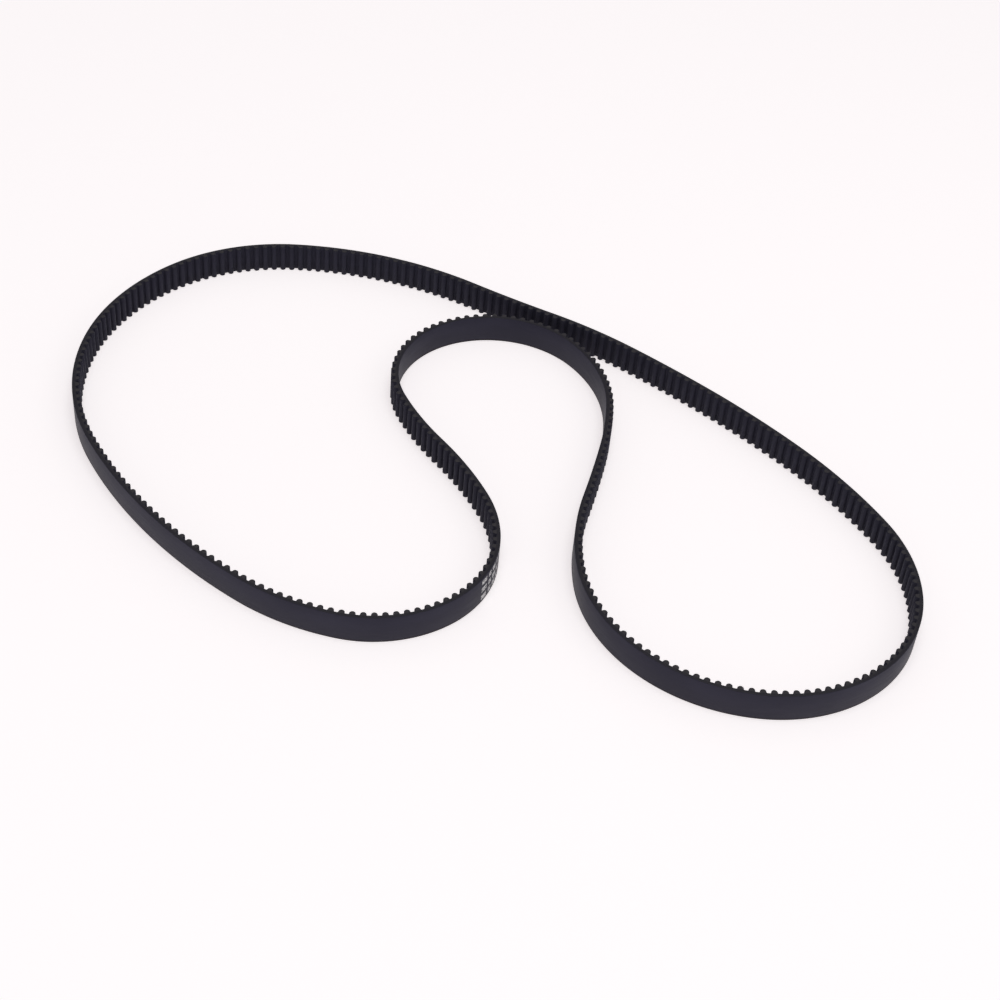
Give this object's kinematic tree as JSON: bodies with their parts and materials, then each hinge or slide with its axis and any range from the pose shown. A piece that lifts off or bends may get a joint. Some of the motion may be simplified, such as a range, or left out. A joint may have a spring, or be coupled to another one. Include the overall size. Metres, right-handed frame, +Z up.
{
  "type": "timing belt",
  "caption": "Endless rubber timing belt with round teeth inside, standing on its edge in a relaxed kidney-shaped loop with one deep fold.",
  "frame": {"origin": "middle of the standing loop's outline, on the surface it stands on", "axes": "+Z up, across the belt's width; +X along the loop's longest extent, to the right seen from the fold's open side; +Y towards the far run"},
  "size_m": [0.2534, 0.189, 0.009],
  "materials": {
    "rubber": "matte moulded rubber, faintly ribbed and dusty",
    "facing": "black woven nylon, rubber soaked",
    "cords": "twisted glass-fibre cord",
    "ink": "thin pale printing ink"
  },
  "bodies": {
    "far_middle": {"rubber_far_middle": "rubber", "facing_far_middle": "facing", "cords_far_middle": "cords"},
    "far_right": {"rubber_far_right": "rubber", "facing_far_right": "facing", "cords_far_right": "cords"},
    "right_bend": {"rubber_right_bend": "rubber", "facing_right_bend": "facing", "cords_right_bend": "cords"},
    "front_right": {"rubber_front_right": "rubber", "facing_front_right": "facing", "cords_front_right": "cords"},
    "fold_foot": {"rubber_fold_foot": "rubber", "facing_fold_foot": "facing", "cords_fold_foot": "cords"},
    "fold_right": {"rubber_fold_right": "rubber", "facing_fold_right": "facing", "cords_fold_right": "cords"},
    "fold_crown": {"rubber_fold_crown": "rubber", "facing_fold_crown": "facing", "cords_fold_crown": "cords"},
    "fold_left": {"rubber_fold_left": "rubber", "facing_fold_left": "facing", "cords_fold_left": "cords", "ink_marking": "ink"},
    "front_corner": {"rubber_front_corner": "rubber", "facing_front_corner": "facing", "cords_front_corner": "cords"},
    "front_left": {"rubber_front_left": "rubber", "facing_front_left": "facing", "cords_front_left": "cords"},
    "left_bend": {"rubber_left_bend": "rubber", "facing_left_bend": "facing", "cords_left_bend": "cords"},
    "far_left": {"rubber_far_left": "rubber", "facing_far_left": "facing", "cords_far_left": "cords"},
    "join": {"rubber_join": "rubber", "facing_join": "facing", "cords_join": "cords"}
  },
  "joints": [
    {"name": "right_end_sway", "type": "hinge", "parent": "far_middle", "child": "far_right", "pos_m": [0.04471, 0.05245, 0.0045], "axis": [0, 0, 1], "range_deg": [-6, 6], "stiffness_Nm_per_rad": 0.002},
    {"name": "right_bend_flex", "type": "hinge", "parent": "far_right", "child": "right_bend", "pos_m": [0.09518, 0.0101, 0.0045], "axis": [0, 0, 1], "range_deg": [-6, 6], "stiffness_Nm_per_rad": 0.002},
    {"name": "front_right_flex", "type": "hinge", "parent": "right_bend", "child": "front_right", "pos_m": [0.0815, -0.09367, 0.0045], "axis": [0, 0, 1], "range_deg": [-6, 6], "stiffness_Nm_per_rad": 0.002},
    {"name": "fold_foot_flex", "type": "hinge", "parent": "front_right", "child": "fold_foot", "pos_m": [0.03093, -0.05124, 0.0045], "axis": [0, 0, 1], "range_deg": [-6, 6], "stiffness_Nm_per_rad": 0.002},
    {"name": "fold_sway", "type": "hinge", "parent": "fold_foot", "child": "fold_right", "pos_m": [0.0321, -0.02143, 0.0045], "axis": [0, 0, 1], "range_deg": [-6, 6], "stiffness_Nm_per_rad": 0.002},
    {"name": "fold_crown_flex", "type": "hinge", "parent": "fold_right", "child": "fold_crown", "pos_m": [0.03794, 0.02308, 0.0045], "axis": [0, 0, 1], "range_deg": [-6, 6], "stiffness_Nm_per_rad": 0.002},
    {"name": "fold_left_flex", "type": "hinge", "parent": "fold_crown", "child": "fold_left", "pos_m": [0.00293, -0.02515, 0.0045], "axis": [0, 0, 1], "range_deg": [-6, 6], "stiffness_Nm_per_rad": 0.002},
    {"name": "front_corner_flex", "type": "hinge", "parent": "fold_left", "child": "front_corner", "pos_m": [-0.00293, -0.06938, 0.0045], "axis": [0, 0, 1], "range_deg": [-6, 6], "stiffness_Nm_per_rad": 0.002},
    {"name": "left_end_sway", "type": "hinge", "parent": "front_corner", "child": "front_left", "pos_m": [-0.03341, -0.0787, 0.0045], "axis": [0, 0, 1], "range_deg": [-6, 6], "stiffness_Nm_per_rad": 0.002},
    {"name": "left_bend_flex", "type": "hinge", "parent": "front_left", "child": "left_bend", "pos_m": [-0.06132, -0.06827, 0.0045], "axis": [0, 0, 1], "range_deg": [-6, 6], "stiffness_Nm_per_rad": 0.002},
    {"name": "far_left_flex", "type": "hinge", "parent": "left_bend", "child": "far_left", "pos_m": [-0.03634, 0.09083, 0.0045], "axis": [0, 0, 1], "range_deg": [-6, 6], "stiffness_Nm_per_rad": 0.002},
    {"name": "join_flex", "type": "hinge", "parent": "far_left", "child": "join", "pos_m": [-0.00832, 0.08035, 0.0045], "axis": [0, 0, 1], "range_deg": [-6, 6], "stiffness_Nm_per_rad": 0.002}
  ],
  "couplings": [
    {"joint": "right_bend_flex", "follows": "right_end_sway", "ratio": -1},
    {"joint": "front_right_flex", "follows": "right_end_sway", "ratio": 1},
    {"joint": "fold_foot_flex", "follows": "right_end_sway", "ratio": -1},
    {"joint": "fold_crown_flex", "follows": "fold_sway", "ratio": -1},
    {"joint": "fold_left_flex", "follows": "fold_sway", "ratio": 1},
    {"joint": "front_corner_flex", "follows": "fold_sway", "ratio": -1},
    {"joint": "left_bend_flex", "follows": "left_end_sway", "ratio": -1},
    {"joint": "far_left_flex", "follows": "left_end_sway", "ratio": 1},
    {"joint": "join_flex", "follows": "left_end_sway", "ratio": -1}
  ]
}
